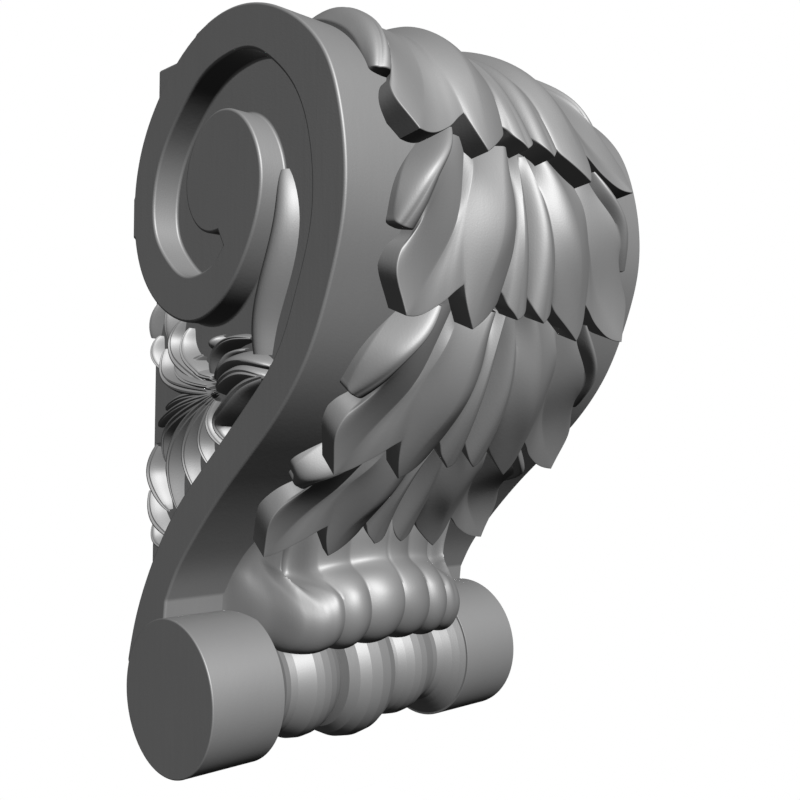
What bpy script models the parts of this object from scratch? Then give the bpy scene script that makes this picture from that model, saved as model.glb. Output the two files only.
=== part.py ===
# Carved wooden bracket (corbel) in one piece. Its flat back lies on the plane y = 0, its front faces -Y,
# and the origin is the middle of the flat back. Heights in the outlines are taken from the roll's axis.

import bmesh
import bpy
import numpy as np
from mathutils import Matrix

MM = 0.001
WELD = 0.001 * MM

# The block
HALF_WIDTH = 88.6 * MM
RECESS = 11.6 * MM
BACK_TOP = 260 * MM
TOP_LIP = -45 * MM
BACK_FOOT = -19 * MM
WEB_FOOT = -3 * MM
WEB_LIP = -24 * MM
FOOT_LIP = -28 * MM
FOOT_HALF = 56 * MM
FOOT_TOP = 26 * MM
ROLL_Y = -31 * MM
AXIS_DROP = 120 * MM
CUT_CLEAR = 20 * MM
LOW_CUT_TOP = 185 * MM
LOW_CUT_CORNER = (-7 * MM, 2 * MM)
HIGH_CUT_FOOT = 204 * MM
HIGH_CUT_FRONT = -52 * MM

# Front of the web from behind its highest point down to the roll, as (y, z)
FRONT = np.array([
    (-33, 254.4), (-46, 260.2), (-62.7, 263.5), (-82, 261.2), (-97.8, 254.4), (-112, 244), (-122.5, 231.2),
    (-129.1, 214), (-132, 198), (-131.6, 176), (-125.6, 154.7), (-115.3, 131.9), (-98.7, 110.6),
    (-67.9, 83.3), (-44.8, 60.2), (-35, 48.2), (-28, 36),
]) * MM

# Scroll of the side band: outer edge about the scroll's middle, as (turn in degrees, radius)
SCROLL_MIDDLE = np.array((-63, 203)) * MM
SCROLL = (
    (90, 60.5), (114, 58.8), (139, 58.5), (160, 60.4), (187, 63.1), (213, 65.1), (235, 62.9), (255, 58),
    (274, 47.7), (295, 36.9), (317, 30.2), (345, 25.4), (377, 22.3), (417, 22.1), (457, 23.4), (512, 23),
    (568, 24.5), (610, 24.3), (625, 23),
)
# Inner edge of the same band, from the scroll's cusp round and down to the roll, as (y, z)
BAND_INNER = np.array([
    (-64.3, 174.1), (-59, 168.8), (-48.9, 165.3), (-39.7, 165.5), (-26.7, 173.7), (-18.1, 184.8),
    (-16.1, 198.9), (-20.8, 214.6), (-33.5, 230.3), (-51, 242.6), (-63.7, 245.6), (-79.6, 244.6),
    (-94.1, 235.8), (-106, 222.8), (-114.6, 197.7), (-114.3, 174.9), (-106.9, 152.9), (-97.4, 132.9),
    (-82.2, 116.6), (-53.5, 91.5), (-38, 77.6), (-24.1, 61.1), (-13.4, 44.3), (-5.3, 27), (-0.2, 9.9),
]) * MM

# Turned roll: (distance from the middle, radius) from the drum's end face inwards
ROLL = (
    (88.8, 0), (88.8, 31), (54.5, 31), (54.4, 30), (50, 25.6), (43.7, 21.7), (38.5, 23.1),
    (34, 25.3), (29, 26), (22, 24.6), (14.8, 20), (10.5, 26), (6, 29.4), (0, 30.5),
)
ROLL_STEPS = 32

# Lines of half a leaf, from the middle out: distance across and height at even steps down the leaf, and how far
# from the tip line each one ends
LEAF_LINES = (
    ((0, 0, 0, 0, 0), (3.5, 2, 2.4, 4.6, 7), -15.8),
    ((2.5, 6, 8, 8.3, 8), (5, 8.1, 11.3, 13.8, 16.3), -5),
    ((6, 9.2, 11, 13.1, 15.4), (0, 5.7, 9, 10.7, 10.4), -13.5),
    ((14, 21, 24, 28.4, 31.6), (7, 11, 14.2, 14.8, 16.6), 0),
    ((26.5, 33, 37, 38.4, 37), (3, 7.4, 7.6, 8.9, 11.7), -13.7),
    ((31.5, 36.6, 41, 50.5, 65), (3.7, 5.2, 6.3, 8, 15.5), -1.7),
    ((42, 46, 53.5, 58.5, 61.3), (5, 7, 9.3, 9, 5.6), -28),
    ((44, 50, 57.5, 62.5, 67), (9, 12, 12.2, 9.6, 6.2), -28.5),
    ((50.5, 57.5, 64, 67.6, 69), (-1, 0, 2, 3, 3), -31.5),
)
# The same for the first tier, which runs on over the top
TOP_LINES = (
    ((0, 0, 0, 0, 0, 0, 0), (2, 1.5, 1, 0.5, 1.5, 3, 7), -15.8),
    ((3, 5, 6.5, 8, 8, 8, 8), (3, 3.5, 4.5, 6.5, 8.6, 10.6, 14.8), -5),
    ((5, 6.5, 8, 9.5, 11.5, 13, 15.4), (0.5, 1.5, 2, 3.5, 6.8, 8.8, 10), -13.5),
    ((9, 14, 18.5, 23, 25, 28, 31.6), (4.5, 6.5, 8.6, 10.6, 11.8, 12, 14.3), 0),
    ((24, 28.5, 31, 34, 37, 38, 37), (1, 1.5, 2, 4.4, 7, 7.8, 10.3), -13.7),
    ((28, 33, 37, 39.5, 43, 50, 65), (2.5, 3, 4, 5.5, 5, 5.5, 12.6), -1.7),
    ((36, 40, 44, 49.5, 53.5, 58.5, 61.3), (3, 4, 4.6, 6, 7, 7.6, 3.4), -28),
    ((39, 42, 46, 51.5, 57, 61, 67), (3, 4.5, 6.2, 8, 8.2, 7.4, 3), -28.5),
    ((48, 51, 56, 61.5, 64.5, 67, 69), (-1, -0.5, 0, 1, 1.6, 1.6, -1), -31.5),
)
# Leaf tiers: their lines, how far down the front the tip line lies, height against the lines, where they start,
# and how far the outermost tip is shifted
TIERS = (
    (TOP_LINES, 98.8, 1.0, -128, (0, 0)), (LEAF_LINES, 155, 1.0, -64, (0, 0)),
    (LEAF_LINES, 213.5, 1.14, -64, (0, 0)), (LEAF_LINES, 267, 0.97, -60, (-5, -5.5)),
)
OUTER_TIP = (0, 0, 0, 0, 0, 0, 1, 1, 1)
# How much the surface swells between each line and the next, at the start and at the end, and how round it is
# towards the next line or, below 0, away from the last one
LEAF_SWELL = ((-0.8, 0.4), (-1.2, -0.2), (0.8, -0.3), (-0.9, -0.1), (0.6, -0.6), (0.8, -1.2), (0, 1), (0, 0))
LEAF_ROUND = (1.1, -1.1, 1.1, -0.55, 0, 0, 1, -1)
# Points of the leaf's edge between the ends of those lines
LEAF_EDGE = (
    ((1.3, -11.5), (3.8, -7.8)),
    ((11, -7.5), (13.2, -9.5), (14.7, -12.8)),
    ((17, -10), (20, -7.4), (25.8, -3.5)),
    ((33.7, -3.5), (35.8, -8.5)),
    ((41, -11), (45.5, -7.5), (50, -5), (55, -2.8), (61, -1.6)),
    ((67, -7), (68.7, -11.5), (69.3, -15.5), (68.5, -19), (66, -23), (62, -26.5)),
    ((64, -28),),
    ((69, -29.5),),
)
LEAF_STEPS = (2, 2, 2, 2, 3, 4, 1, 1)
LEAF_ROWS = (0, 0.28, 0.54, 0.76, 0.9, 1)
LEAF_THICK = 9.7 * MM
ROOT = 3 * MM

# Leaf end below the lowest tier: at each distance across, the drape, the fold and the roll under it, as (y, z)
CURL = {
    0: ((-70, 80), (-66.5, 72), (-65, 62), (-64, 55), (-65, 51), (-67.5, 48.5), (-71, 44.5), (-73.8, 39),
        (-74.6, 33), (-73, 27), (-69, 21.5), (-63, 19), (-56, 19), (-42, 23)),
    17.5: ((-68, 80), (-62, 72), (-60, 62), (-59, 54), (-59.5, 50), (-62.5, 47.5), (-67.5, 44), (-71, 38),
           (-72.3, 31.5), (-71, 25.5), (-67, 20.5), (-61, 18), (-54, 18.5), (-40, 22.5)),
    32: ((-65, 79), (-59.5, 70), (-57.5, 60), (-56.5, 51.5), (-57, 48), (-59.5, 45.5), (-64, 42), (-68.3, 37),
         (-70, 30.5), (-68.5, 24), (-64.5, 19), (-58.5, 17), (-51, 17.5), (-39, 21)),
    37: ((-58, 78), (-51.5, 68), (-48.5, 58), (-47, 50), (-48, 46), (-52, 43.5), (-59, 41), (-65.5, 36),
         (-68, 30), (-66.5, 23.5), (-62.5, 18.5), (-56.5, 17), (-50, 17.5), (-38.5, 20.5)),
    42: ((-57, 77), (-50, 67), (-46, 57), (-44.5, 49), (-45.5, 45), (-49.5, 43), (-57, 40), (-63, 35),
         (-65.5, 29), (-64, 23), (-60, 18.5), (-54, 17), (-48, 17.5), (-38, 20)),
    48: ((-58, 77), (-53, 67), (-50, 57), (-49, 50), (-49.5, 46), (-51, 43), (-55, 39.5), (-58.5, 35),
         (-60.5, 29.5), (-59, 24), (-55.5, 19.5), (-51, 17.5), (-46, 17.5), (-37, 19)),
    54: ((-58, 77), (-50.5, 67), (-44, 57), (-41, 50), (-40.5, 46), (-41.5, 43), (-43.5, 39.5), (-45.5, 35),
         (-46, 29.5), (-45, 24), (-43, 20), (-41, 18.5), (-39, 18), (-35, 18)),
    61: ((-58, 77), (-49, 67), (-40, 57), (-34, 50), (-31, 46), (-29, 43), (-27.5, 39.5), (-26.5, 35),
         (-26, 29.5), (-26, 24), (-26, 20), (-26, 19), (-26, 18), (-26, 17)),
}
# Line inside the block that the rows of the curl rise from
CURL_ROOT = np.array([
    (-54, 80), (-46, 70), (-38, 60), (-32, 52), (-30, 48), (-28, 45), (-26, 42), (-25, 38), (-24, 34),
    (-24, 30), (-24, 26), (-24, 22), (-24, 18), (-26, 15),
]) * MM
CURL_ACROSS = (0, 5, 9, 13, 17.5, 22, 26, 30.5, 35, 39, 43, 48.5, 52, 56, 61)
DRAPE_GROOVES = (0, 17.5, 34, 52)
ROLL_GROOVES = (0, 17.5, 30.5, 52)
DRAPE_LOBE = 1.4
ROLL_LOBE = 2.6
FOLD_ROWS = (4, 6)

# Leaf spray in the side recess: each leaflet's middle line as (y, z), its half width and its height
SPRAY = (
    (((-76, 133), (-77, 143), (-83, 160), (-89.6, 182), (-87.6, 200)), 7.6, 7.5),  # stem
    (((-54.4, 123), (-59.3, 127.8), (-71.7, 130.9), (-82.3, 128.4)), 4.6, 10),  # calyx back
    (((-54, 121), (-62, 124), (-72, 126.5), (-82, 124)), 5.4, 11),  # calyx
    (((-81, 124), (-72, 121), (-60, 113), (-53.5, 107), (-58, 100)), 5.4, 10),  # calyx leaf
    (((-48.5, 127.3), (-50.9, 132.1), (-56.3, 137), (-63.3, 139.5), (-70, 139.5)), 3, 9),  # hook
    (((-51, 125), (-57.1, 129.7), (-60.6, 133.2), (-66.8, 135.4)), 2.6, 8),  # inner hook
    (((-48, 137), (-52.5, 141.5)), 3.4, 7),  # ball
    (((-46.4, 125.6), (-38.1, 128.9), (-35.7, 132.5), (-38.7, 135)), 3, 7),  # upper 1
    (((-44, 125), (-38, 129.4), (-31, 135), (-28.5, 140.4), (-29.2, 146.5)), 3.4, 8),  # upper 2
    (((-42, 123.5), (-29.5, 130.4), (-21.5, 137.2), (-19.8, 142.8), (-22.8, 150)), 4, 8),  # upper 3
    (((-46.4, 122.2), (-32.7, 125.7), (-21, 133)), 2.8, 10),  # upper 4
    (((-44.3, 120.1), (-26.5, 122.8), (-13.3, 129.6), (-11, 139)), 4.4, 8),  # upper 5
    (((-8.2, 131.6), (-5.5, 137.3), (-6.3, 145)), 2.6, 6),  # edge 1
    (((-2.8, 144), (-4.7, 151.3), (-8.6, 160)), 2.4, 6),  # edge 2
    (((-15.4, 143), (-16.1, 151.1), (-16.9, 160)), 3, 6),  # edge 3
    (((-45.8, 119.2), (-25, 117.6), (-11.2, 113.8)), 3.2, 6),  # side 1
    (((-47.3, 118.7), (-28.3, 114.8), (-6, 107)), 3.4, 7),  # side 2
    (((-48, 118.3), (-29.9, 111.3), (-15.6, 101.6), (-12.5, 92)), 4, 8),  # lower 1
    (((-48.7, 117.9), (-31.6, 106.9), (-21.6, 92.7), (-22.8, 72)), 4, 8.5),  # lower 2
    (((-49.2, 117.4), (-37.7, 106.9), (-31.8, 94.7), (-36.7, 80)), 3.8, 8),  # lower 3
    (((-49.5, 117), (-44.5, 108.6), (-41.7, 100), (-46, 90)), 3.2, 7),  # lower 4
    (((-50.2, 116.6), (-47.5, 108.5), (-49.7, 103.5), (-56, 98)), 3.2, 7),  # lower 5
    (((-9, 99), (-5.4, 87.8), (-9.5, 78.9), (-14.5, 72)), 4.4, 7),  # foot 1
    (((-3.4, 80), (-7.2, 69.7), (-18, 61)), 4.2, 6.5),  # foot 2
    (((-4.8, 66), (-7, 60), (-15, 56)), 3, 5),  # foot 3
)
SPRAY_ROWS = (0, 0.25, 0.6, 0.85, 1)
SPRAY_SECTION = ((-1, -0.2), (-0.6, 0.7), (0, 1), (0.6, 0.7), (1, -0.2))

WOOD = (0.30, 0.30, 0.30, 1)


def smooth(points, places, chords=None):
    """Read a natural cubic curve through the points at the given distances along their chords."""
    points = np.asarray(points, float)
    if chords is None:
        chords = np.linalg.norm(np.diff(points, axis=0), axis=1)
    marks = np.concatenate(([0], np.cumsum(chords)))
    slopes = np.diff(points, axis=0) / chords[:, None]
    system = np.eye(len(points))
    turns = np.zeros_like(points)
    for i in range(1, len(points) - 1):
        system[i, i - 1:i + 2] = chords[i - 1], 2 * (chords[i - 1] + chords[i]), chords[i]
        turns[i] = 6 * (slopes[i] - slopes[i - 1])
    bends = np.linalg.solve(system, turns)
    i = np.clip(np.searchsorted(marks, places) - 1, 0, len(chords) - 1)
    before = (np.asarray(places) - marks[i])[:, None]
    after = (marks[i + 1] - np.asarray(places))[:, None]
    gap = chords[i][:, None]
    low, high = bends[i], bends[i + 1]
    return ((low * after ** 3 + high * before ** 3) / (6 * gap)
            + (points[i] / gap - low * gap / 6) * after
            + (points[i + 1] / gap - high * gap / 6) * before)


def spaced(points, count):
    """Give evenly spaced points along the smooth curve through the given ones."""
    length = np.linalg.norm(np.diff(points, axis=0), axis=1).sum()
    return smooth(points, np.linspace(0, length, count))


def through_even(values, parts):
    """Read the smooth curve through values at even steps from 0 to 1."""
    steps = len(values) - 1
    return smooth(np.array(values, float)[:, None], parts * steps, np.ones(steps))[:, 0]


FRONT_LINE = spaced(FRONT, 400)
FRONT_TRAVEL = np.concatenate(([0], np.cumsum(np.linalg.norm(np.diff(FRONT_LINE, axis=0), axis=1))))
FRONT_TRAVEL = FRONT_TRAVEL - FRONT_TRAVEL[np.argmax(FRONT_LINE[:, 1])]
FRONT_HEADING = np.gradient(FRONT_LINE, FRONT_TRAVEL, axis=0)
FRONT_EDGE = FRONT_LINE[FRONT_TRAVEL > -12 * MM][::12]


def on_front(across, along, height):
    """Point at a height over the web's front, a distance down it from its highest point."""
    y, z = (np.interp(along, FRONT_TRAVEL, FRONT_LINE[:, axis]) for axis in (0, 1))
    dy, dz = (np.interp(along, FRONT_TRAVEL, FRONT_HEADING[:, axis]) for axis in (0, 1))
    size = np.hypot(dy, dz)
    return np.stack([across, y + height * dz / size, z - height * dy / size], axis=-1)


def placed(name, mesh):
    """Put a mesh in the collection as an object."""
    piece = bpy.data.objects.new(name, mesh)
    collection.objects.link(piece)
    return piece


def welded(name, mesh):
    """Weld a mesh into one closed skin of triangles that faces outwards."""
    form = bmesh.new()
    form.from_mesh(mesh)
    bmesh.ops.remove_doubles(form, verts=form.verts, dist=WELD)
    bmesh.ops.recalc_face_normals(form, faces=form.faces)
    bmesh.ops.triangulate(form, faces=form.faces)
    form.to_mesh(mesh)
    form.free()
    return placed(name, mesh)


def taken(piece):
    """Take the mesh that an object's modifiers or curve make, in its place, and remove the object."""
    bpy.context.view_layer.update()
    shown = piece.evaluated_get(bpy.context.evaluated_depsgraph_get())
    mesh = bpy.data.meshes.new_from_object(shown)
    mesh.transform(piece.matrix_world)
    bpy.data.objects.remove(piece)
    return mesh


def slab(name, top, bottom):
    """Close the space between two grids of points with the same rows and columns."""
    rows, columns = top.shape[:2]
    count = rows * columns
    faces = []
    for row in range(rows - 1):
        for column in range(columns - 1):
            a = row * columns + column
            b = a + columns
            faces.append((a, a + 1, b + 1, b))
            faces.append((a + count, b + count, b + 1 + count, a + 1 + count))
    border = list(range(columns))
    border += [row * columns + columns - 1 for row in range(1, rows)]
    border += [(rows - 1) * columns + column for column in range(columns - 2, -1, -1)]
    border += [row * columns for row in range(rows - 2, 0, -1)]
    for a, b in zip(border, border[1:] + border[:1]):
        faces.append((a, a + count, b + count, b))
    points = [tuple(point) for point in (*top.reshape(-1, 3), *bottom.reshape(-1, 3))]
    mesh = bpy.data.meshes.new(name)
    mesh.from_pydata(points, [], faces)
    return welded(name, mesh)


def board(name, outline, x_middle, thickness):
    """Extrude a (y, z) outline along X."""
    curve = bpy.data.curves.new(name, 'CURVE')
    curve.dimensions = '2D'
    curve.fill_mode = 'BOTH'
    curve.extrude = thickness / 2
    spline = curve.splines.new('POLY')
    spline.points.add(len(outline) - 1)
    for point, (y, z) in zip(spline.points, outline):
        point.co = (y, z, 0, 1)
    spline.use_cyclic_u = True
    piece = placed(name, curve)
    piece.matrix_world = Matrix(((0, 0, 1, x_middle), (1, 0, 0, 0), (0, 1, 0, 0), (0, 0, 0, 1)))
    return welded(name, taken(piece))


def scroll_edge(first, last, count):
    """Points of the scroll's outer edge between two turns, in degrees."""
    marks = along_chords(np.array(SCROLL), np.linspace(first, last, count))
    turn, radius = smooth(SCROLL, marks).T
    angle = np.radians(turn)
    return SCROLL_MIDDLE + radius[:, None] * MM * np.stack([-np.cos(angle), np.sin(angle)], axis=-1)


def block():
    """The sawn block, as wide as the roll, with its foot behind the turned part."""
    outline = [(0, WEB_FOOT), (0, BACK_TOP), (TOP_LIP, BACK_TOP), *FRONT_EDGE, (WEB_LIP, WEB_FOOT)]
    foot = [(0, BACK_FOOT), (0, FOOT_TOP), (FOOT_LIP, FOOT_TOP), (FOOT_LIP, BACK_FOOT)]
    return [board("block", outline, 0, 2 * HALF_WIDTH), board("foot", foot, 0, 2 * FOOT_HALF)]


def recesses():
    """Cutters for the side: inside the scroll and below it, and behind its top."""
    clear = CUT_CLEAR
    low = np.vstack([
        spaced(BAND_INNER, 60)[::-1], scroll_edge(625, 196, 34),
        [(clear, LOW_CUT_TOP), (clear, -clear), (LOW_CUT_CORNER[0], -clear), LOW_CUT_CORNER],
    ])
    high = np.vstack([scroll_edge(108, 180, 6), [(clear, HIGH_CUT_FOOT), (clear, BACK_TOP + clear)],
                      [(HIGH_CUT_FRONT, BACK_TOP + clear)]])
    middle = HALF_WIDTH - RECESS + clear / 2
    return [board("recess", low, middle, clear), board("recess", high, middle, clear)]


def along_chords(points, values):
    """Distances along a polyline's chords where its first coordinate takes the given values."""
    marks = np.concatenate(([0], np.cumsum(np.linalg.norm(np.diff(points, axis=0), axis=1))))
    return np.interp(values, points[:, 0], marks)


def roll():
    """Turned roll with its two plain drums, along X."""
    half = [(radius * MM, distance * MM) for distance, radius in ROLL]
    profile = half + [(radius, -distance) for radius, distance in half[-2::-1]]
    mesh = bpy.data.meshes.new("roll")
    mesh.from_pydata([(radius, 0, z) for radius, z in profile], [(i, i + 1) for i in range(len(profile) - 1)], [])
    piece = placed("roll", mesh)
    screw = piece.modifiers.new("turn", 'SCREW')
    screw.axis = 'Z'
    screw.steps = ROLL_STEPS
    screw.render_steps = ROLL_STEPS
    screw.use_merge_vertices = True
    screw.merge_threshold = WELD
    half_step = Matrix.Rotation(np.pi / ROLL_STEPS, 4, 'Z')
    piece.matrix_world = Matrix.Translation((0, ROLL_Y, 0)) @ Matrix.Rotation(np.pi / 2, 4, 'Y') @ half_step
    return welded("roll", taken(piece))


def rounded_share(share, amount):
    """Share of the rise between two lines, rounded towards the next one or away from the last."""
    if amount > 0:
        return share + amount * (np.sin(share * np.pi / 2) - share)
    return share - amount * (1 - np.cos(share * np.pi / 2) - share)


def leaf(lines, tip, lift, start, tuck):
    """One tier of leaf across the front, lobed, with an undercut edge."""
    rows = np.array(LEAF_ROWS)
    late = rows ** 3
    tuck = np.array(tuck)
    spread = []
    for (places, heights, last), share in zip(lines, OUTER_TIP):
        places = (*places[:-1], places[-1] + share * tuck[0])
        along = start + (last + share * tuck[1] - start) * rows
        spread.append((through_even(places, rows), along, through_even(heights, rows) * lift))
    across, along, height = [], [], []
    for i, count in enumerate(LEAF_STEPS):
        (x_near, u_near, h_near), (x_far, u_far, h_far) = spread[i:i + 2]
        ends = np.array([(lines[i][0][-1], lines[i][2]), *LEAF_EDGE[i], (lines[i + 1][0][-1], lines[i + 1][2])])
        shift = np.linspace(OUTER_TIP[i], OUTER_TIP[i + 1], count + 1)
        edge = spaced(ends, count + 1) + shift[:, None] * tuck
        swell = LEAF_SWELL[i][0] * (1 - rows) + LEAF_SWELL[i][1] * rows
        last = i == len(LEAF_STEPS) - 1
        for step in range(count + last):
            share = step / count
            rise = rounded_share(share, LEAF_ROUND[i])
            x = x_near * (1 - share) + x_far * share
            u = u_near * (1 - share) + u_far * share
            across.append(x + late * (edge[step][0] - x[-1]))
            along.append(u + late * (edge[step][1] - u[-1]))
            height.append(h_near * (1 - rise) + h_far * rise + swell * 4 * share * (1 - share))
    across, along, height = (np.array(values).T * MM for values in (across, along, height))
    under = np.clip((rows - 0.8) / 0.2, 0, 1)[:, None]
    below = -ROOT * (1 - under) + np.maximum(height - LEAF_THICK, -ROOT) * under
    grids = []
    for level in (height, below):
        half = on_front(across, along + tip * MM, level)
        other = half[:, :0:-1] * np.array((-1, 1, 1))
        grids.append(np.concatenate([other, half], axis=1))
    return slab("leaf", *grids)


def curl():
    """Leaf end below the lowest tier, hanging down, folded forward and rolled over the turned roll."""
    marks = np.array(list(CURL), float)
    marks = np.concatenate([-marks[:0:-1], marks])
    sides = np.array(list(CURL.values()), float)
    sides = np.concatenate([sides[:0:-1], sides])
    half = np.array(CURL_ACROSS, float)
    across = np.concatenate([-half[:0:-1], half])
    rows = np.arange(sides.shape[1])[:, None]
    top = np.empty((len(rows), len(across), 3))
    top[:, :, 0] = across
    for row in range(len(rows)):
        top[row, :, 1:] = smooth(sides[:, row], across - across[0], np.diff(marks))
    on_roll = np.clip((rows - FOLD_ROWS[0]) / (FOLD_ROWS[1] - FOLD_ROWS[0]), 0, 1)
    arch = np.zeros(top.shape[:2])
    for i in range(len(ROLL_GROOVES) - 1):
        near, far = (DRAPE_GROOVES[j] * (1 - on_roll) + ROLL_GROOVES[j] * on_roll for j in (i, i + 1))
        share = (2 * np.abs(across) - near - far) / (far - near)
        arch = np.maximum(arch, 1 - share ** 2)
    rise = (DRAPE_LOBE * (1 - on_roll) + ROLL_LOBE * on_roll) * arch
    heading = np.gradient(top[:, :, 1:], axis=0)
    heading = heading / np.linalg.norm(heading, axis=2)[:, :, None]
    top[:, :, 1:] += np.stack([heading[:, :, 1], -heading[:, :, 0]], axis=-1) * rise[:, :, None]
    top = top * MM
    bottom = top.copy()
    bottom[:, :, 1:] = CURL_ROOT[:, None, :]
    return slab("curl", top, bottom)


def leaflet(points, half_width, height):
    """One ridged leaflet lying on a recess floor."""
    rows = np.array(SPRAY_ROWS)
    line = spaced(np.array(points) * MM, 41)
    heading = np.gradient(line, axis=0)
    heading = heading / np.linalg.norm(heading, axis=1)[:, None]
    picks = np.round(rows * 40).astype(int)
    swell = np.sin(np.pi * np.clip(0.12 + 0.86 * rows, 0, 1)) ** 0.6
    top = np.empty((len(rows), len(SPRAY_SECTION), 3))
    floor = HALF_WIDTH - RECESS
    for column, (offset, rise) in enumerate(SPRAY_SECTION):
        reach = (offset * half_width * MM * swell)[:, None]
        normal = heading[picks][:, ::-1] * (-1, 1)
        top[:, column, 1:] = line[picks] + normal * reach
        top[:, column, 0] = floor + rise * height * MM * swell
    bottom = top.copy()
    bottom[:, :, 0] = floor - ROOT
    return slab("leaflet", top, bottom)


def combined(whole, bodies, operation):
    """Cut or join closed bodies."""
    for body in bodies:
        step = whole.modifiers.new("step", 'BOOLEAN')
        step.operation = operation
        step.solver = 'EXACT'
        step.object = body
        whole = placed("whole", taken(whole))
        bpy.data.objects.remove(body)
    return whole


def without_pockets(piece):
    """Drop the sealed pockets that joined carving leaves inside the wood, and keep the outer skin."""
    form = bmesh.new()
    form.from_mesh(piece.data)
    waiting = set(form.faces)
    skins = []
    while waiting:
        skin = {waiting.pop()}
        edge_of_skin = list(skin)
        while edge_of_skin:
            face = edge_of_skin.pop()
            near = {other for edge in face.edges for other in edge.link_faces} & waiting
            waiting -= near
            skin |= near
            edge_of_skin += near
        skins.append(skin)
    skins.sort(key=len)
    inner = [face for skin in skins[:-1] for face in skin]
    bmesh.ops.delete(form, geom=inner, context='FACES')
    form.to_mesh(piece.data)
    form.free()
    return piece


def mirrored(half):
    """Keep the +X half and repeat it on the other side."""
    mirror = half.modifiers.new("mirror", 'MIRROR')
    mirror.use_bisect_axis[0] = True
    mirror.bisect_threshold = WELD
    mirror.merge_threshold = WELD
    return placed("carved_bracket", taken(half))


def painted_wood():
    """Satin grey paint on wood."""
    material = bpy.data.materials.new("painted_wood")
    material.use_nodes = True
    shader = material.node_tree.nodes["Principled BSDF"]
    shader.inputs["Base Color"].default_value = WOOD
    shader.inputs["Roughness"].default_value = 0.5
    shader.inputs["Metallic"].default_value = 0
    return material


for old in list(bpy.data.objects):
    bpy.data.objects.remove(old)
collection = bpy.data.collections.new("carved_bracket")
bpy.context.scene.collection.children.link(collection)

blank, foot = block()
whole = combined(blank, recesses(), 'DIFFERENCE')
carving = [foot, roll(), curl()]
carving += [leaf(*tier) for tier in TIERS]
carving += [leaflet(*blade) for blade in SPRAY]
bracket = without_pockets(mirrored(combined(whole, carving, 'UNION')))
bracket.data.transform(Matrix.Translation((0, 0, -AXIS_DROP)))
bracket.data.shade_smooth()
bracket.data.set_sharp_from_angle(angle=np.radians(35))
bracket.data.materials.append(painted_wood())
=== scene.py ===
import math

import bmesh
import bpy
import numpy as np
from mathutils import Matrix, Vector


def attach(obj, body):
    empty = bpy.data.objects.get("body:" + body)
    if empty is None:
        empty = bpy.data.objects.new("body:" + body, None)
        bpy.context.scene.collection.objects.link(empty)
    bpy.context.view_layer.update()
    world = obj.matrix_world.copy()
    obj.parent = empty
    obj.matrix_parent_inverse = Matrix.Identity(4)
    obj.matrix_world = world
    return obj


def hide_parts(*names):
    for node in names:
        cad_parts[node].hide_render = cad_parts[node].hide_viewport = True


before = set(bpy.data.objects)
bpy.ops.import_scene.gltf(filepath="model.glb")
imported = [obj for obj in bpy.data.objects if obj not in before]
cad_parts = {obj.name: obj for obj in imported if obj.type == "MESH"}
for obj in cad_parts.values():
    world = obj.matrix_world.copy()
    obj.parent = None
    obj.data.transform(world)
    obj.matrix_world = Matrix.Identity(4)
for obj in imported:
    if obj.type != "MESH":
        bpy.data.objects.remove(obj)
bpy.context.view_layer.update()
mm = 0.001
sharpFrom = math.radians(45)  # edges that turn more than this stay sharp

# Lengths in the dictionaries are millimetres. Heights are taken from the roll's axis, and axisDrop
# moves them to the frame, whose origin is the middle of the flat back.
block = {
    "halfWidth": 88.6,
    "recess": 11.6,
    "backTop": 260,
    "topLip": -45,
    "backFoot": -19,
    "webFoot": -3,
    "webLip": -24,
    "footLip": -28,
    "footTop": 26,
    "footHalf": 56,
    "rollY": -31,
    "axisDrop": 120,
    "edgeRound": 1.1,
    "roundSteps": 3,
    "roundFrom": 40,  # degrees: a softer edge is left as it is
    "smallest": 0.3,  # shorter edges are closed up before the rounding
    "flatWithin": 0.3,  # degrees: faces nearer than this to one flat are made one
    "front": (
        (-33, 254.4), (-46, 260.2), (-62.7, 263.5), (-82, 261.2), (-97.8, 254.4), (-112, 244),
        (-122.5, 231.2), (-129.1, 214), (-132, 198), (-131.6, 176), (-125.6, 154.7), (-115.3, 131.9),
        (-98.7, 110.6), (-67.9, 83.3), (-44.8, 60.2), (-35, 48.2), (-28, 36),
    ),
    "frontSteps": 1200,
    "frontFrom": -12,  # the outline starts this far along the front, measured from its highest point
    "frontStride": 6,
    "scrollMiddle": (-63, 203),
    "scroll": (  # turn in degrees, radius
        (90, 60.5), (114, 58.8), (139, 58.5), (160, 60.4), (187, 63.1), (213, 65.1), (235, 62.9),
        (255, 58), (274, 47.7), (295, 36.9), (317, 30.2), (345, 25.4), (377, 22.3), (417, 22.1),
        (457, 23.4), (512, 23), (568, 24.5), (610, 24.3), (625, 23),
    ),
    "bandInner": (
        (-64.3, 174.1), (-59, 168.8), (-48.9, 165.3), (-39.7, 165.5), (-26.7, 173.7), (-18.1, 184.8),
        (-16.1, 198.9), (-20.8, 214.6), (-33.5, 230.3), (-51, 242.6), (-63.7, 245.6), (-79.6, 244.6),
        (-94.1, 235.8), (-106, 222.8), (-114.6, 197.7), (-114.3, 174.9), (-106.9, 152.9),
        (-97.4, 132.9), (-82.2, 116.6), (-53.5, 91.5), (-38, 77.6), (-24.1, 61.1), (-13.4, 44.3),
        (-5.3, 27), (-0.2, 9.9),
    ),
    "bandSteps": 240,
    "cutClear": 20,  # how far the cutting shapes reach past the board
    "lowTurns": (625, 196, 150),  # turns of the scroll that the lower recess follows, and its steps
    "lowTop": 185,
    "lowFoot": (-7, 2),
    "highTurns": (108, 180, 24),  # the same for the small recess above it
    "highFoot": 204,
    "highLip": -52,
}


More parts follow.
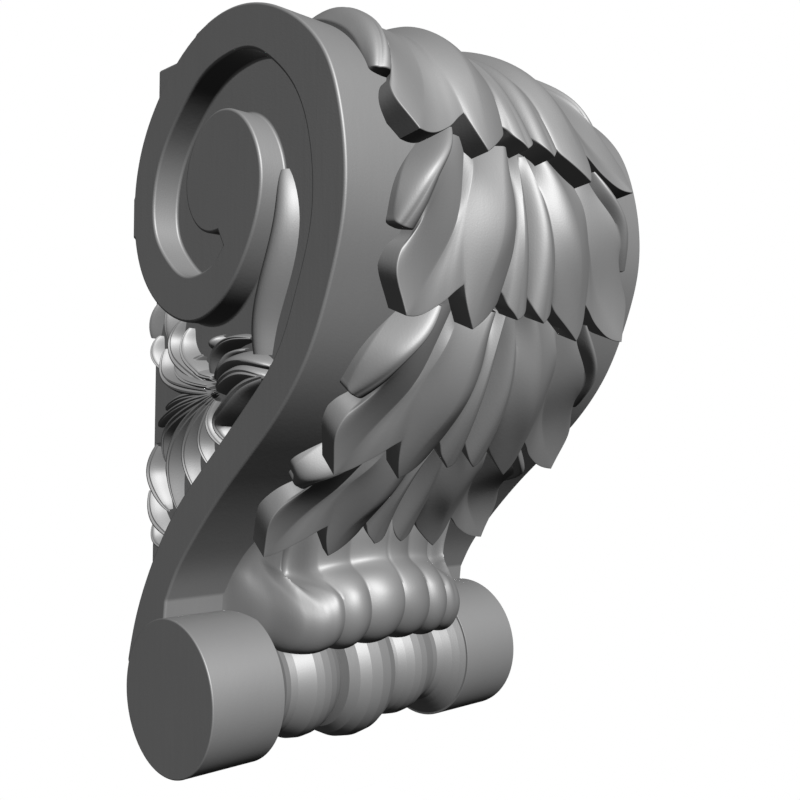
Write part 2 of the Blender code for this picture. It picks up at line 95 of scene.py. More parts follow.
def smoothCurve(points, places, chords=None):
    points = np.asarray(points, float)  # natural cubic curve, read at distances along its chords
    if chords is None:
        chords = np.linalg.norm(np.diff(points, axis=0), axis=1)
    marks = np.concatenate(([0], np.cumsum(chords)))
    slopes = np.diff(points, axis=0) / chords[:, None]
    system = np.eye(len(points))
    turns = np.zeros_like(points)
    for i in range(1, len(points) - 1):
        system[i, i - 1:i + 2] = chords[i - 1], 2 * (chords[i - 1] + chords[i]), chords[i]
        turns[i] = 6 * (slopes[i] - slopes[i - 1])
    bends = np.linalg.solve(system, turns)
    places = np.asarray(places, float)
    i = np.clip(np.searchsorted(marks, places) - 1, 0, len(chords) - 1)
    before = (places - marks[i])[:, None]
    after = (marks[i + 1] - places)[:, None]
    gap = chords[i][:, None]
    return ((bends[i] * after ** 3 + bends[i + 1] * before ** 3) / (6 * gap)
            + (points[i] / gap - bends[i] * gap / 6) * after
            + (points[i + 1] / gap - bends[i + 1] * gap / 6) * before)


def spaced(points, count):
    length = np.linalg.norm(np.diff(points, axis=0), axis=1).sum()
    return smoothCurve(points, np.linspace(0, length, count))


def throughEven(values, part):
    values = np.array(values, float)[:, None]  # the same curve through values at even steps from 0 to 1
    steps = len(values) - 1
    return smoothCurve(values, np.asarray(part) * steps, np.ones(steps))[:, 0]


# Front line of the web, with the distance travelled down it from its highest point
frontLine = spaced(block["front"], block["frontSteps"])
frontTravel = np.concatenate(([0], np.cumsum(np.linalg.norm(np.diff(frontLine, axis=0), axis=1))))
frontTravel = frontTravel - frontTravel[np.argmax(frontLine[:, 1])]
frontHeading = np.gradient(frontLine, frontTravel, axis=0)
frontEdge = frontLine[frontTravel > block["frontFrom"]][::block["frontStride"]]


def onFront(across, along, height):
    y, z = (np.interp(along, frontTravel, frontLine[:, axis]) for axis in (0, 1))
    dy, dz = (np.interp(along, frontTravel, frontHeading[:, axis]) for axis in (0, 1))
    size = np.hypot(dy, dz)
    return np.stack([across, y + height * dz / size, z - height * dy / size], axis=-1)


def toFrame(points):
    return (np.asarray(points, float).reshape(-1, 3) - (0, 0, block["axisDrop"])) * mm


def meshOf(name, points, faces):
    mesh = bpy.data.meshes.new(name)
    mesh.from_pydata([tuple(point) for point in toFrame(points)], [], [tuple(face) for face in faces])
    softened(mesh)
    return mesh


def placed(name, mesh):
    piece = bpy.data.objects.new(name, mesh)
    bpy.context.scene.collection.objects.link(piece)
    return piece


def taken(piece):
    bpy.context.view_layer.update()
    shown = piece.evaluated_get(bpy.context.evaluated_depsgraph_get())
    mesh = bpy.data.meshes.new_from_object(shown)
    mesh.transform(piece.matrix_world)
    bpy.data.objects.remove(piece)
    return mesh


def cleaned(mesh, weld=0.002):
    form = bmesh.new()
    form.from_mesh(mesh)
    bmesh.ops.remove_doubles(form, verts=form.verts, dist=weld * mm)
    bmesh.ops.recalc_face_normals(form, faces=form.faces)
    form.to_mesh(mesh)
    form.free()
    return mesh


def softened(mesh):
    mesh.shade_smooth()
    mesh.set_sharp_from_angle(angle=sharpFrom)


def gridFaces(rows, columns):
    faces = []
    for row in range(rows - 1):
        for column in range(columns - 1):
            a = row * columns + column
            b = a + columns
            faces.append((a, a + 1, b + 1, b))
    return faces


def board(name, outline, xMiddle, thickness):
    curve = bpy.data.curves.new(name, 'CURVE')
    curve.dimensions = '2D'
    curve.fill_mode = 'BOTH'
    curve.extrude = thickness * mm / 2
    spline = curve.splines.new('POLY')
    spline.points.add(len(outline) - 1)
    for point, (y, z) in zip(spline.points, outline):
        point.co = (y * mm, (z - block["axisDrop"]) * mm, 0, 1)
    spline.use_cyclic_u = True
    piece = placed(name, curve)
    piece.matrix_world = Matrix(((0, 0, 1, xMiddle * mm), (1, 0, 0, 0), (0, 1, 0, 0), (0, 0, 0, 1)))
    return placed(name, cleaned(taken(piece)))


def scrollEdge(first, last, count):
    table = np.array(block["scroll"], float)
    marks = np.concatenate(([0], np.cumsum(np.linalg.norm(np.diff(table, axis=0), axis=1))))
    turn, radius = smoothCurve(table, np.interp(np.linspace(first, last, count), table[:, 0], marks)).T
    angle = np.radians(turn)
    away = np.stack([-np.cos(angle), np.sin(angle)], axis=-1)
    return np.array(block["scrollMiddle"]) + radius[:, None] * away


def cutOrJoined(whole, body, operation):
    step = whole.modifiers.new("step", 'BOOLEAN')
    step.operation = operation
    step.solver = 'EXACT'
    step.object = body
    mesh = taken(whole)
    bpy.data.objects.remove(body)
    return placed("blank", mesh)


def webAndFoot():  # their outlines seen from the side
    top, low = block["backTop"], block["webFoot"]
    web = [(0, low), (0, top), (block["topLip"], top), *frontEdge, (block["webLip"], low)]
    top, low, lip = block["footTop"], block["backFoot"], block["footLip"]
    return web, [(0, low), (0, top), (lip, top), (lip, low)]


def recessOutlines():
    clear = block["cutClear"]
    band = spaced(block["bandInner"], block["bandSteps"])[::-1]
    foot = block["lowFoot"]
    corners = [(clear, block["lowTop"]), (clear, -clear), (foot[0], -clear), foot]
    low = np.vstack([band, scrollEdge(*block["lowTurns"]), corners])
    top = block["backTop"] + clear
    corners = [(clear, block["highFoot"]), (clear, top), (block["highLip"], top)]
    return low, np.vstack([scrollEdge(*block["highTurns"]), corners])


def makeBlank():
    web, foot = webAndFoot()
    clear = block["cutClear"]
    whole = board("blank", web, 0, 2 * block["halfWidth"])
    for side in (-1, 1):
        middle = side * (block["halfWidth"] - block["recess"] + clear / 2)
        for shape in recessOutlines():
            whole = cutOrJoined(whole, board("recess", shape, middle, clear), 'DIFFERENCE')
    whole = cutOrJoined(whole, board("foot", foot, 0, 2 * block["footHalf"]), 'UNION')
    form = bmesh.new()  # one face for each flat, so that the edges round evenly
    form.from_mesh(whole.data)
    bmesh.ops.remove_doubles(form, verts=form.verts, dist=block["smallest"] * mm)
    flat = math.radians(block["flatWithin"])
    bmesh.ops.dissolve_limit(form, angle_limit=flat, verts=form.verts, edges=form.edges)
    form.to_mesh(whole.data)
    form.free()
    rounding = whole.modifiers.new("rounding", 'BEVEL')
    rounding.limit_method = 'ANGLE'
    rounding.angle_limit = math.radians(block["roundFrom"])
    rounding.width = block["edgeRound"] * mm
    rounding.segments = block["roundSteps"]
    rounding.use_clamp_overlap = False
    blank = taken(whole)
    for vertex in blank.vertices:  # the rounding stops at the flat back
        vertex.co.y = min(vertex.co.y, 0)
    softened(blank)
    return blank


roll = {
    "drumRadius": 31,
    "drumEnd": 88.8,
    "drumInner": 54.5,
    "edge": 0.6,
    "innerEdge": 0.2,
    "edgeSteps": 5,
    "innerSteps": 4,
    "steps": 144,
    "profile": (  # distance from the middle, radius
        (54.4, 30), (52.5, 27.8), (50, 25.3), (47, 22.8), (43.7, 21.7), (40.5, 22.3), (37, 23.8),
        (33, 25.5), (29, 26), (25, 25.6), (21, 24.2), (17.5, 22.2), (14.8, 20),
    ),
    "beadHalf": 14.8,
    "beadCrest": 30.5,
    "beadFoot": 20,
    "beadBands": 4,
    "together": 0.01,  # points this close count as one
}


def drumCorner(end, outwards, turns):  # a rounded corner of a drum, at its outer or inner end
    size = roll["edge"] if outwards > 0 else roll["innerEdge"]
    along = [end - outwards * size * (1 - math.sin(turn)) for turn in turns]
    return list(zip(along, [roll["drumRadius"] - size * (1 - math.cos(turn)) for turn in turns]))


def makeRoll():
    quarter = math.pi / 2
    outer = drumCorner(roll["drumEnd"], 1, np.linspace(quarter, 0, roll["edgeSteps"]))
    inner = drumCorner(roll["drumInner"], -1, np.linspace(0, quarter, roll["innerSteps"]))
    swell = roll["beadCrest"] - roll["beadFoot"]
    bead = [(roll["beadHalf"] * share, roll["beadFoot"] + swell * math.sqrt(1 - share * share))
            for share in np.sin(np.linspace(quarter, 0, roll["beadBands"] + 1))]
    half = [(roll["drumEnd"], 0), *outer, *inner, *roll["profile"], *bead[1:]]
    full = [(radius, distance) for distance, radius in half]
    full += [(radius, -distance) for radius, distance in full[-2::-1]]
    points = [(radius * mm, 0, distance * mm) for radius, distance in full]
    mesh = bpy.data.meshes.new("roll")
    mesh.from_pydata(points, [(i, i + 1) for i in range(len(points) - 1)], [])
    piece = placed("roll", mesh)
    screw = piece.modifiers.new("turn", 'SCREW')
    screw.steps = roll["steps"]
    screw.render_steps = roll["steps"]
    screw.use_merge_vertices = True
    screw.merge_threshold = roll["together"] * mm
    piece.matrix_world = (Matrix.Translation((0, block["rollY"] * mm, -block["axisDrop"] * mm))
                          @ Matrix.Rotation(quarter, 4, 'Y'))
    turned = cleaned(taken(piece))
    softened(turned)
    for edge in turned.edges:  # each band between two rings stays flat, as the tool left it
        ends = [turned.vertices[i].co.x / mm for i in edge.vertices]
        if abs(ends[0] - ends[1]) < roll["together"] and abs(ends[0]) < roll["drumInner"]:
            edge.use_edge_sharp = True
    return turned


leaf = {
    # Tip line's distance down the front, height against its lines, start, outer finger's shift
    "tiers": (
        ("topLines", 98.8, 1.0, -128, (0, 0)),
        ("lines", 155, 1.0, -64, (0, 0)),
        ("lines", 213.5, 1.14, -64, (0, 0)),
        ("lines", 267, 0.97, -60, (-5, -5.5)),
    ),
    "fingerLines": 3,  # the outer finger's lines, which take the shift
    "tipPull": 3,  # how late along the leaf its sides turn to the outline of the tips
    "thickness": 9.7,
    "edgeRound": 0.5,
    "edgeSteps": 4,
    "deepest": -2,  # no edge reaches further into the front than this
    "backDepth": -2.5,
    "backStep": 9,  # how many points in from the edge its back closes
    "rows": 54,
    # From the middle out: distance across and height at five even steps, and where it ends along
    "lines": {
        "middle groove": ((0, 0, 0, 0, 0), (3.5, 2, 2.4, 4.6, 7), -15.8),
        "inner crest": ((2.5, 6, 8, 8.3, 8), (5, 8.1, 11.3, 13.8, 16.3), -5),
        "inner groove": ((6, 9.2, 11, 13.1, 15.4), (0, 5.7, 9, 10.7, 10.4), -13.5),
        "broad crest": ((14, 21, 24, 28.4, 31.6), (7, 11, 14.2, 14.8, 16.6), 0),
        "faint crease": ((26.5, 33, 37, 38.4, 37), (3, 7.4, 7.6, 8.9, 11.7), -13.7),
        "deep crease": ((31.5, 36.6, 41, 50.5, 65), (3.7, 5.2, 6.3, 8, 15.5), -1.7),
        "outer foot": ((42, 46, 53.5, 58.5, 61.3), (5, 7, 9.3, 9, 5.6), -28),
        "outer crest": ((44, 50, 57.5, 62.5, 67), (9, 12, 12.2, 9.6, 6.2), -28.5),
        "outer edge": ((50.5, 57.5, 64, 67.6, 69), (-1, 0, 2, 3, 3), -31.5),
    },
    "topLines": {  # the same for the first tier, which runs on over the top, at seven even steps
        "middle groove": ((0, 0, 0, 0, 0, 0, 0), (2, 1.5, 1, 0.5, 1.5, 3, 7), -15.8),
        "inner crest": ((3, 5, 6.5, 8, 8, 8, 8), (3, 3.5, 4.5, 6.5, 8.6, 10.6, 14.8), -5),
        "inner groove": ((5, 6.5, 8, 9.5, 11.5, 13, 15.4), (0.5, 1.5, 2, 3.5, 6.8, 8.8, 10), -13.5),
        "broad crest": ((9, 14, 18.5, 23, 25, 28, 31.6), (4.5, 6.5, 8.6, 10.6, 11.8, 12, 14.3), 0),
        "faint crease": ((24, 28.5, 31, 34, 37, 38, 37), (1, 1.5, 2, 4.4, 7, 7.8, 10.3), -13.7),
        "deep crease": ((28, 33, 37, 39.5, 43, 50, 65), (2.5, 3, 4, 5.5, 5, 5.5, 12.6), -1.7),
        "outer foot": ((36, 40, 44, 49.5, 53.5, 58.5, 61.3), (3, 4, 4.6, 6, 7, 7.6, 3.4), -28),
        "outer crest": ((39, 42, 46, 51.5, 57, 61, 67), (3, 4.5, 6.2, 8, 8.2, 7.4, 3), -28.5),
        "outer edge": ((48, 51, 56, 61.5, 64.5, 67, 69), (-1, -0.5, 0, 1, 1.6, 1.6, -1), -31.5),
    },
    "edges": (  # outline of the tips between one line and the next, across and along
        ((1.3, -11.5), (3.8, -7.8)),
        ((11, -7.5), (13.2, -9.5), (14.7, -12.8)),
        ((17, -10), (20, -7.4), (25.8, -3.5)),
        ((33.7, -3.5), (35.8, -8.5)),
        ((41, -11), (45.5, -7.5), (50, -5), (55, -2.8), (61, -1.6)),
        ((67, -7), (68.7, -11.5), (69.3, -15.5), (68.5, -19), (66, -23), (62, -26.5)),
        ((64, -28),),
        ((69, -29.5),),
    ),
    "steps": (10, 12, 16, 12, 20, 26, 10, 8),  # columns between one line and the next
    "swell": (  # between two lines, at the start and at the tip
        (-0.8, 0.4), (-1.2, -0.2), (0.8, -0.3), (-0.9, -0.1), (0.6, -0.6), (0.8, -1.2), (0, 1), (0, 0),
    ),
    "round": (1.1, -1.1, 1.1, -0.55, 0, 0, 1, -1),  # towards the next line, or away from the last one
}


def roundedShare(share, amount):
    if amount > 0:
        return share + amount * (math.sin(share * math.pi / 2) - share)
    return share - amount * (1 - math.cos(share * math.pi / 2) - share)


def makeLeaf(lines, tip, lift, start, tuck):
    rows = np.linspace(0, 1, leaf["rows"])
    table = list(leaf[lines].values())
    pull = np.where(np.arange(len(table)) < len(table) - leaf["fingerLines"], 0, 1)
    spread = []
    for (places, heights, last), share in zip(table, pull):
        places = np.array(places, float)
        places[-1] += share * tuck[0]
        last = last + share * tuck[1]
        travel = start + (last - start) * rows
        spread.append((throughEven(places, rows), travel, throughEven(heights, rows) * lift))
    across, along, height = [], [], []
    late = rows ** leaf["tipPull"]
    for i, count in enumerate(leaf["steps"]):
        near, far = spread[i], spread[i + 1]
        shift = pull[i] + (pull[i + 1] - pull[i]) * np.linspace(0, 1, count + 1)
        first, last = ((places[-1], end) for places, heights, end in table[i:i + 2])
        edge = spaced([first, *leaf["edges"][i], last], count + 1) + shift[:, None] * np.array(tuck)
        swell = leaf["swell"][i][0] * (1 - rows) + leaf["swell"][i][1] * rows
        for step in range(count + (i == len(leaf["steps"]) - 1)):
            share = step / count
            x, u = near[0] * (1 - share) + far[0] * share, near[1] * (1 - share) + far[1] * share
            rise = roundedShare(share, leaf["round"][i])
            across.append(x + late * (edge[step][0] - x[-1]))
            along.append(u + late * (edge[step][1] - u[-1]))
            height.append(near[2] * (1 - rise) + far[2] * rise + swell * 4 * share * (1 - share))
    flat = np.stack([np.array(values).T for values in (across, along, height)], axis=-1)
    mirror = flat[:, :0:-1] * (-1, 1, 1)
    return skirted(np.concatenate([mirror, flat], axis=1), tip)


def skirted(flat, tip):
    rows, columns = flat.shape[:2]

    def border(step):
        down = [(row, min(step, columns - 1)) for row in range(rows)]
        end = [(rows - 1 - step, column) for column in range(1, columns)]
        up = [(row, max(columns - 1 - step, 0)) for row in range(rows - 2, -1, -1)]
        return down + end + up

    rim = border(0)
    edge = np.array([flat[place] for place in rim])
    out = edge - np.array([flat[place] for place in border(1)])
    out = out / np.linalg.norm(out, axis=1)[:, None]
    radius = leaf["edgeRound"]
    rings = [edge + radius * (out * (math.sin(turn) - 1) - np.array((0, 0, 1 - math.cos(turn))))
             for turn in np.linspace(0, math.pi / 2, leaf["edgeSteps"])]
    for place, point in zip(rim, rings.pop(0)):
        flat[place] = point
    foot = edge.copy()
    foot[:, 2] = np.maximum(foot[:, 2] - leaf["thickness"], leaf["deepest"])
    back = np.array([flat[place] for place in border(leaf["backStep"])])
    back[:, 2] = leaf["backDepth"]
    rings += [foot, back]
    points = [flat.reshape(-1, 3)]
    faces = gridFaces(rows, columns)
    above = [row * columns + column for row, column in rim]
    count = rows * columns
    for ring in rings:
        below = list(range(count, count + len(ring)))
        faces += [(above[i], above[i + 1], below[i + 1], below[i]) for i in range(len(rim) - 1)]
        points.append(ring)
        count += len(ring)
        above = below
    flat = np.vstack(points)
    return meshOf("leaf", onFront(flat[:, 0], flat[:, 1] + tip, flat[:, 2]), faces)


curl = {
    "sections": {  # distance across: the drape, the fold and the roll under it, from the top down
        0: ((-70, 80), (-66.5, 72), (-65, 62), (-64, 55), (-65, 51), (-67.5, 48.5), (-71, 44.5),
            (-73.8, 39), (-74.6, 33), (-73, 27), (-69, 21.5), (-63, 19), (-56, 19), (-42, 23)),
        17.5: ((-68, 80), (-62, 72), (-60, 62), (-59, 54), (-59.5, 50), (-62.5, 47.5), (-67.5, 44),
               (-71, 38), (-72.3, 31.5), (-71, 25.5), (-67, 20.5), (-61, 18), (-54, 18.5), (-40, 22.5)),
        34.5: ((-65, 79), (-59.5, 70), (-57, 60), (-55.5, 51.5), (-56, 48), (-58.5, 45.5), (-63, 42),
               (-68.3, 37), (-70, 30.5), (-68.5, 24), (-64.5, 19), (-58.5, 17), (-51, 17.5), (-39, 21)),
        38: ((-58, 78), (-50, 68), (-45.5, 58), (-43, 50), (-43.5, 46), (-48, 43.5), (-57, 41),
             (-65.5, 36), (-68, 30), (-66.5, 23.5), (-62.5, 18.5), (-56.5, 17), (-50, 17.5),
             (-38.5, 20.5)),
        42: ((-57, 77), (-50, 67), (-44.5, 57), (-42, 48), (-42.5, 44), (-46.5, 41.5), (-55, 39),
             (-62.5, 34.5), (-65.5, 29), (-64, 23), (-60, 18.5), (-54, 17), (-48, 17.5), (-38, 20)),
        48: ((-58, 77), (-53, 67), (-50, 57), (-49, 50), (-49.5, 46), (-51, 43), (-55, 39.5),
             (-58.5, 35), (-60.5, 29.5), (-59, 24), (-55.5, 19.5), (-51, 17.5), (-46, 17.5), (-37, 19)),
        54: ((-58, 77), (-50.5, 67), (-44, 57), (-41, 50), (-40.5, 46), (-41.5, 43), (-43.5, 39.5),
             (-45.5, 35), (-46, 29.5), (-45, 24), (-43, 20), (-41, 18.5), (-39, 18), (-35, 18)),
        61: ((-58, 77), (-49, 67), (-40, 57), (-34, 50), (-31, 46), (-29, 43), (-27.5, 39.5),
             (-26.5, 35), (-26, 29.5), (-26, 24), (-26, 20), (-26, 19), (-26, 18), (-26, 17)),
    },
    "drapeGrooves": (0, 17.5, 34, 52),
    "rollGrooves": (0, 17.5, 30.5, 52),
    "drapeLobe": 1.4,
    "rollLobe": 2.6,
    "fold": 0.38,  # share of the way down at which the drape meets the roll
    "foldTurn": 8,  # how quickly the drape's lobes pass into the roll's
    "lipAt": (49.5, 49, 41.5),  # raised lip at the side: at the top, at the fold, where it dies away
    "lipHeight": 3.2,
    "lipHalf": 3.4,
    "lipRun": 0.24,
    "lipFade": 6,
    "soften": 1.5,  # how far the sections are blended to each side
    "softenSteps": 5,
    "end": (-30, 12),  # where its last edge runs into the block
    "rows": 72,
    "columns": 88,
}


def makeCurl():
    rows = np.linspace(0, 1, curl["rows"])[:, None]
    marks = np.array(list(curl["sections"]), float)
    sides = np.array([spaced(points, curl["rows"]) for points in curl["sections"].values()])
    marks = np.concatenate([-marks[:0:-1], marks])
    sides = np.concatenate([sides[:0:-1], sides])
    across = np.linspace(marks[0], marks[-1], 2 * curl["columns"] + 1)
    grid = np.empty((len(rows), len(across), 3))
    grid[:, :, 0] = across
    soften = np.linspace(-curl["soften"], curl["soften"], curl["softenSteps"])
    for row in range(len(rows)):
        for axis in (0, 1):
            line = [np.interp(across + shift, marks, sides[:, row, axis]) for shift in soften]
            grid[row, :, axis + 1] = np.mean(line, axis=0)
    onRoll = np.clip((rows - curl["fold"]) * curl["foldTurn"], 0, 1)
    arch = np.zeros(grid.shape[:2])
    drape, below = np.array(curl["drapeGrooves"]), np.array(curl["rollGrooves"])
    for first in range(len(drape) - 1):
        near, far = (drape[i] + (below[i] - drape[i]) * onRoll for i in (first, first + 1))
        share = (2 * np.abs(across) - near - far) / (far - near)
        arch = np.maximum(arch, 1 - share ** 2)
    rise = (curl["drapeLobe"] + (curl["rollLobe"] - curl["drapeLobe"]) * onRoll) * arch
    dies = curl["fold"] + curl["lipRun"]
    lipAt = np.interp(rows, (0, curl["fold"], dies), curl["lipAt"])
    lip = curl["lipHeight"] * np.clip((dies - rows) * curl["lipFade"], 0, 1)
    rise += lip * np.clip(1 - np.abs(np.abs(across) - lipAt) / curl["lipHalf"], 0, 1)
    heading = np.gradient(grid[:, :, 1:], axis=0)
    heading = heading / np.linalg.norm(heading, axis=2)[:, :, None]
    grid[:, :, 1:] += np.stack([heading[:, :, 1], -heading[:, :, 0]], axis=-1) * rise[:, :, None]
    inside = grid[-1:].copy()
    inside[:, :, 1:] = curl["end"]
    grid = np.concatenate([grid, inside])
    return meshOf("curl", grid, gridFaces(*grid.shape[:2]))


spray = {
    "leaflets": (  # name, middle line, half width, height, depth of the crease down its middle
        ("stem", ((-76, 133), (-77, 143), (-83, 160), (-89.6, 182), (-87.6, 200)), 7.6, 7.5, 0),
        ("calyx back", ((-54.4, 123), (-59.3, 127.8), (-71.7, 130.9), (-82.3, 128.4)), 4.6, 10, 0),
        ("calyx", ((-54, 121), (-62, 124), (-72, 126.5), (-82, 124)), 5.4, 11, 0.12),
        ("calyx leaf", ((-81, 124), (-72, 121), (-60, 113), (-53.5, 107), (-58, 100)), 5.4, 10, 0.2),
        ("hook", ((-48.5, 127.3), (-50.9, 132.1), (-56.3, 137), (-63.3, 139.5), (-70, 139.5)),
         3, 9, 0.15),
        ("inner hook", ((-51, 125), (-57.1, 129.7), (-60.6, 133.2), (-66.8, 135.4)), 2.6, 8, 0),
        ("ball", ((-48, 137), (-52.5, 141.5)), 3.4, 7, 0),
        ("upper 1", ((-46.4, 125.6), (-38.1, 128.9), (-35.7, 132.5), (-38.7, 135)), 3, 7, 0.2),
        ("upper 2", ((-44, 125), (-38, 129.4), (-31, 135), (-28.5, 140.4), (-29.2, 146.5)),
         3.4, 8, 0.2),
        ("upper 3", ((-42, 123.5), (-29.5, 130.4), (-21.5, 137.2), (-19.8, 142.8), (-22.8, 150)),
         4, 8, 0.25),
        ("upper 4", ((-46.4, 122.2), (-32.7, 125.7), (-21, 133)), 2.8, 10, 0.2),
        ("upper 5", ((-44.3, 120.1), (-26.5, 122.8), (-13.3, 129.6), (-11, 139)), 4.4, 8, 0.25),
        ("edge 1", ((-8.2, 131.6), (-5.5, 137.3), (-6.3, 145)), 2.6, 6, 0.2),
        ("edge 2", ((-2.8, 144), (-4.7, 151.3), (-8.6, 160)), 2.4, 6, 0.2),
        ("edge 3", ((-15.4, 143), (-16.1, 151.1), (-16.9, 160)), 3, 6, 0.2),
        ("side 1", ((-45.8, 119.2), (-25, 117.6), (-11.2, 113.8)), 3.2, 6, 0.2),
        ("side 2", ((-47.3, 118.7), (-28.3, 114.8), (-6, 107)), 3.4, 7, 0.2),
        ("lower 1", ((-48, 118.3), (-29.9, 111.3), (-15.6, 101.6), (-12.5, 92)), 4, 8, 0.25),
        ("lower 2", ((-48.7, 117.9), (-31.6, 106.9), (-21.6, 92.7), (-22.8, 72)), 4, 8.5, 0.25),
        ("lower 3", ((-49.2, 117.4), (-37.7, 106.9), (-31.8, 94.7), (-36.7, 80)), 3.8, 8, 0.25),
        ("lower 4", ((-49.5, 117), (-44.5, 108.6), (-41.7, 100), (-46, 90)), 3.2, 7, 0.25),
        ("lower 5", ((-50.2, 116.6), (-47.5, 108.5), (-49.7, 103.5), (-56, 98)), 3.2, 7, 0.2),
        ("foot 1", ((-9, 99), (-5.4, 87.8), (-9.5, 78.9), (-14.5, 72)), 4.4, 7, 0.25),
        ("foot 2", ((-3.4, 80), (-7.2, 69.7), (-18, 61)), 4.2, 6.5, 0.25),
        ("foot 3", ((-4.8, 66), (-7, 60), (-15, 56)), 3, 5, 0.2),
    ),
    "rows": 24,
    "columns": 13,
    "open": (0.12, 0.98),  # how far the ends are along a half turn: the foot stays open, the tip closes
    "fullness": 0.45,
    "top": 1.2,  # crest above the edges, against the height
    "sink": 0.2,  # how deep the edges sit in the floor of the recess, against the height
    "flatness": 0.8,
    "creaseSharpness": 6,
}


def makeLeaflet(name, points, halfWidth, height, crease, side):
    rows = np.linspace(0, 1, spray["rows"])
    line = spaced(points, spray["rows"])
    heading = np.gradient(line, axis=0)
    heading = heading / np.linalg.norm(heading, axis=1)[:, None]
    first, last = spray["open"]
    swell = np.sin(np.pi * (first + (last - first) * rows)) ** spray["fullness"]
    floor = block["halfWidth"] - block["recess"]
    grid = np.empty((len(rows), spray["columns"], 3))
    for column, share in enumerate(np.linspace(-1, 1, spray["columns"])):
        dip = crease * math.exp(-(share * spray["creaseSharpness"]) ** 2)
        rise = spray["top"] * math.cos(share * math.pi / 2) ** spray["flatness"] - spray["sink"] - dip
        grid[:, column, 1:] = line + heading[:, ::-1] * (-1, 1) * (share * halfWidth * swell)[:, None]
        grid[:, column, 0] = side * (floor + rise * height * swell)
    return meshOf(name, grid, gridFaces(*grid.shape[:2]))


def joinMeshes(name, meshes):
    form = bmesh.new()
    for mesh in meshes:
        form.from_mesh(mesh)
    whole = bpy.data.meshes.new(name)
    form.to_mesh(whole)
    form.free()
    for mesh in meshes:
        bpy.data.meshes.remove(mesh)
    return whole


class Wire:  # a shader socket that sums can be written with
    def __init__(self, tree, socket=None):
        self.tree = tree
        self.socket = socket

    def node(self, kind, settings, values, output=0):
        made = self.tree.nodes.new(kind)
        for name, value in settings.items():
            setattr(made, name, value)
        for name, value in values.items():
            if isinstance(value, Wire):
                self.tree.links.new(value.socket, made.inputs[name])
            else:
                made.inputs[name].default_value = value
        return Wire(self.tree, made.outputs[output] if made.outputs else None)

    def __add__(self, other):
        return self.node('ShaderNodeMath', {"operation": 'ADD'}, {0: self, 1: other})

    def __sub__(self, other):
        return self.node('ShaderNodeMath', {"operation": 'SUBTRACT'}, {0: self, 1: other})

    def __rsub__(self, other):
        return self.node('ShaderNodeMath', {"operation": 'SUBTRACT'}, {0: other, 1: self})

    def __mul__(self, other):
        return self.node('ShaderNodeMath', {"operation": 'MULTIPLY'}, {0: self, 1: other})

    __radd__ = __add__
    __rmul__ = __mul__


paint = {
    "dark": (0.121, 0.121, 0.122, 1),
    "light": (0.139, 0.139, 0.139, 1),
    "roughness": 0.55,
    "roughnessSpread": 0.05,
    "patchScale": 26,  # soft patches of thicker and thinner paint
    "patchDetail": 3,
    "patchShare": 0.7,  # of the shade, the rest is grain
    "grainScale": (420, 420, 34),  # wood grain, upright, showing through the paint
    "grainDetail": 4,
    "grainWander": 0.6,
    "grainShare": 0.55,  # of the relief, the rest is the sprayed coat
    "peelScale": 1500,  # fine texture of the sprayed coat
    "peelDetail": 1,
    "bumpDepth": 0.00006,
    "shine": 1.0,
}


def paintedWood():
    material = bpy.data.materials.new("paintedWood")
    material.use_nodes = True
    tree = material.node_tree
    tree.nodes.clear()
    wire = Wire(tree)
    place = wire.node('ShaderNodeTexCoord', {}, {}, "Object")
    patches = wire.node('ShaderNodeTexNoise', {}, {
        "Vector": place, "Scale": paint["patchScale"], "Detail": paint["patchDetail"],
    })
    along = wire.node('ShaderNodeMapping', {}, {"Vector": place, "Scale": paint["grainScale"]})
    grain = wire.node('ShaderNodeTexNoise', {}, {
        "Vector": along, "Scale": 1, "Detail": paint["grainDetail"], "Distortion": paint["grainWander"],
    })
    peel = wire.node('ShaderNodeTexNoise', {}, {
        "Vector": place, "Scale": paint["peelScale"], "Detail": paint["peelDetail"],
    })
    shade = patches * paint["patchShare"] + grain * (1 - paint["patchShare"])
    tones = {0: shade, 6: paint["dark"], 7: paint["light"]}  # the mix node's factor and colours
    colour = wire.node('ShaderNodeMix', {"data_type": 'RGBA'}, tones, 2)
    relief = grain * paint["grainShare"] + peel * (1 - paint["grainShare"])
    depth = {"Height": relief, "Strength": 1, "Distance": paint["bumpDepth"]}
    bump = wire.node('ShaderNodeBump', {}, depth)
    shader = wire.node('ShaderNodeBsdfPrincipled', {}, {
        "Base Color": colour,
        "Roughness": paint["roughness"] + patches * paint["roughnessSpread"],
        "Normal": bump,
        "Specular IOR Level": paint["shine"],
        "Coat Weight": paint["shine"],
        "Coat Roughness": paint["roughness"],
    })
    wire.node('ShaderNodeOutputMaterial', {}, {"Surface": shader})
    return material


view = {
    "place": (-310.96, -376.49, -17.32),
    "turn": 42.69,
    "lookUp": 2.085,
    "roll": 0.351,
    "lens": 46.03,
    "sensor": 36,
    "shift": 0.0625,
    "nearest": 0.01,
}


def addCamera():
    data = bpy.data.cameras.new("camera")
    data.lens = view["lens"]
    data.sensor_width = view["sensor"]
    data.shift_x = view["shift"]
    data.clip_start = view["nearest"]
    camera = placed("camera", data)
    camera.matrix_world = (Matrix.Translation(Vector(view["place"]) * mm)
                           @ Matrix.Rotation(-math.radians(view["turn"]), 4, 'Z')
                           @ Matrix.Rotation(math.radians(90 + view["lookUp"]), 4, 'X')
                           @ Matrix.Rotation(math.radians(view["roll"]), 4, 'Z'))
    bpy.context.scene.camera = camera


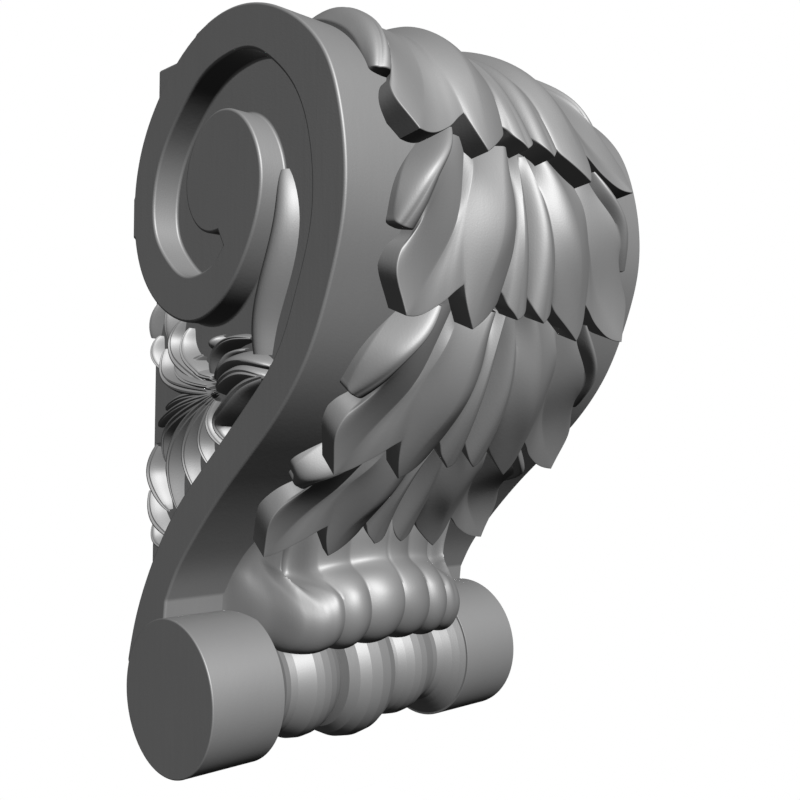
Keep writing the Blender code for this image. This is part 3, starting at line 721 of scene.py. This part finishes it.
lights = {  # degrees round from the front towards the left, degrees up, strength, spread
    "key": {"turn": 14, "up": 37, "strength": 6.7, "spread": 12, "gloss": True},
    "left": {"turn": 95, "up": 0, "strength": 0.5, "spread": 30, "gloss": False},
    "behind": {"turn": 222, "up": 4, "strength": 2.8, "spread": 30, "gloss": False},
}


room = {
    "skyColour": (1, 1, 1, 1),
    "skyLight": 0.02,  # what the pale room adds to the lamps
    "skySeen": 1,
    "floorSize": 6,
    "floorDrop": 1.6,
    "floorColour": (0.9, 0.9, 0.9, 1),
}


def addLights():
    for name, values in lights.items():
        data = bpy.data.lights.new(name, 'SUN')
        data.energy = values["strength"]
        data.angle = math.radians(values["spread"])
        data.use_shadow = False
        lamp = placed(name, data)
        lamp.visible_glossy = values["gloss"]
        turn, up = math.radians(values["turn"]), math.radians(values["up"])
        away = Vector((-math.sin(turn) * math.cos(up), -math.cos(turn) * math.cos(up), math.sin(up)))
        lamp.rotation_euler = away.to_track_quat('Z', 'Y').to_euler()
    world = bpy.data.worlds.new("room")
    bpy.context.scene.world = world
    world.use_nodes = True
    nodes, links = world.node_tree.nodes, world.node_tree.links
    sky = nodes["Background"]
    sky.inputs["Color"].default_value = room["skyColour"]
    seen = nodes.new('ShaderNodeLightPath')
    blend = nodes.new('ShaderNodeMix')  # inputs 2 and 3 are its two numbers
    blend.inputs[2].default_value = room["skyLight"]
    blend.inputs[3].default_value = room["skySeen"]
    links.new(seen.outputs["Is Camera Ray"], blend.inputs[0])
    links.new(blend.outputs[0], sky.inputs["Strength"])


def addFloor():
    bpy.ops.mesh.primitive_plane_add(size=room["floorSize"], location=(0, 0, -room["floorDrop"]))
    floor = bpy.context.object
    floor.name = "floor"
    floor.visible_diffuse = False
    floor.visible_glossy = False
    material = bpy.data.materials.new("floor")
    material.use_nodes = True
    shader = material.node_tree.nodes["Principled BSDF"]
    shader.inputs["Base Color"].default_value = room["floorColour"]
    floor.data.materials.append(material)


bpy.context.scene.view_settings.view_transform = 'Standard'
addCamera()
addLights()
addFloor()
print("camera, lights and floor")

parts = [makeBlank(), makeRoll(), makeCurl()]
print("blank, roll and curl")
parts += [makeLeaf(*tier) for tier in leaf["tiers"]]
print("leaves")
parts += [makeLeaflet(*blade, side) for side in (-1, 1) for blade in spray["leaflets"]]
print("sprays")

carving = joinMeshes("carving", parts)
piece = placed("carving", carving)
flats = piece.modifiers.new("flats", 'WEIGHTED_NORMAL')
flats.keep_sharp = True
carving.materials.append(paintedWood())
piece.visible_diffuse = False
piece.visible_glossy = False
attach(piece, "root")
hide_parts("carved_bracket")
print("carving:", len(carving.polygons), "faces")
